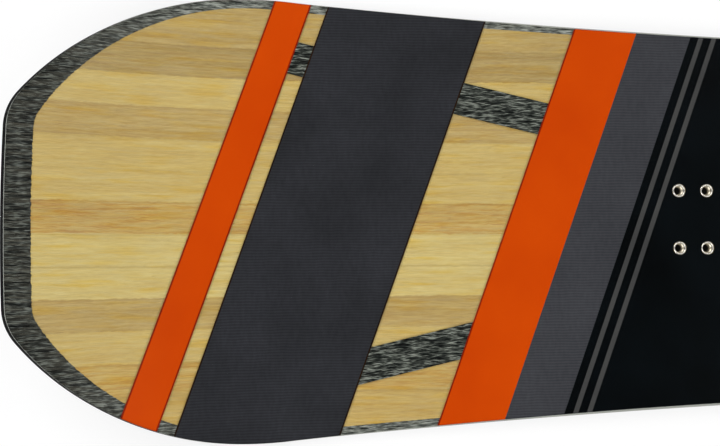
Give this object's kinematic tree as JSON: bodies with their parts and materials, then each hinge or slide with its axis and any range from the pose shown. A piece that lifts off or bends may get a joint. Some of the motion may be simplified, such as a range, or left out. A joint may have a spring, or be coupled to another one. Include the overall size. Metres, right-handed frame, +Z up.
{
  "type": "snowboard",
  "caption": "Twin-tip freestyle snowboard with kicked blunt tips, clear topsheet over a poplar strip core, steel edges and two packs of threaded binding inserts.",
  "frame": {"origin": "middle of the running base, on the plane that the flat base rests on", "axes": "+X towards the tail (the nose points to -X), +Y towards the board's left side, +Z up out of the topsheet"},
  "size_m": [1.55, 0.3, 0.0578],
  "materials": {
    "topsheet": "clear polyamide sheet, high gloss, printed on its underside",
    "glass_laminate": "glass cloth wetted out with clear epoxy",
    "poplar_core": "sanded poplar strips, fine grain along the board",
    "abs": "black ABS, milled to a lean round the tips",
    "sidewall_abs": "grey ABS, milled to a lean along the sides, with fine cutter lines",
    "running_base": "black sintered polyethylene with a stone-ground structure",
    "edge_steel": "ground and polished hardened steel",
    "insert_steel": "turned stainless steel",
    "rubber_foil": "thin black rubber foil",
    "grey_fibre": "dark grey fibre tape in clear epoxy"
  },
  "bodies": {
    "root": {"topsheet": "topsheet", "upper_glass": "glass_laminate", "lower_glass": "glass_laminate", "base": "running_base", "steel_edge_left": "edge_steel", "rubber_strip_left": "rubber_foil", "sidewall_left": "sidewall_abs", "steel_edge_right": "edge_steel", "rubber_strip_right": "rubber_foil", "sidewall_right": "sidewall_abs", "nose_spacer": "abs", "tail_spacer": "abs", "core_strip_centre": "poplar_core", "core_strip_left_1": "poplar_core", "core_strip_left_2": "poplar_core", "core_strip_left_3": "poplar_core", "core_strip_left_4": "poplar_core", "core_strip_left_5": "poplar_core", "core_wedge_nose_left": "poplar_core", "core_wedge_tail_left": "poplar_core", "core_strip_right_1": "poplar_core", "core_strip_right_2": "poplar_core", "core_strip_right_3": "poplar_core", "core_strip_right_4": "poplar_core", "core_strip_right_5": "poplar_core", "core_wedge_nose_right": "poplar_core", "core_wedge_tail_right": "poplar_core", "diagonal_band_nose_left": "grey_fibre", "diagonal_band_nose_right": "grey_fibre", "diagonal_band_tail_left": "grey_fibre", "diagonal_band_tail_right": "grey_fibre", "insert_nose_left_1": "insert_steel", "insert_nose_left_2": "insert_steel", "insert_nose_left_3": "insert_steel", "insert_nose_left_4": "insert_steel", "insert_nose_left_5": "insert_steel", "insert_nose_left_6": "insert_steel", "insert_nose_right_1": "insert_steel", "insert_nose_right_2": "insert_steel", "insert_nose_right_3": "insert_steel", "insert_nose_right_4": "insert_steel", "insert_nose_right_5": "insert_steel", "insert_nose_right_6": "insert_steel", "insert_tail_left_1": "insert_steel", "insert_tail_left_2": "insert_steel", "insert_tail_left_3": "insert_steel", "insert_tail_left_4": "insert_steel", "insert_tail_left_5": "insert_steel", "insert_tail_left_6": "insert_steel", "insert_tail_right_1": "insert_steel", "insert_tail_right_2": "insert_steel", "insert_tail_right_3": "insert_steel", "insert_tail_right_4": "insert_steel", "insert_tail_right_5": "insert_steel", "insert_tail_right_6": "insert_steel"}
  },
  "joints": []
}
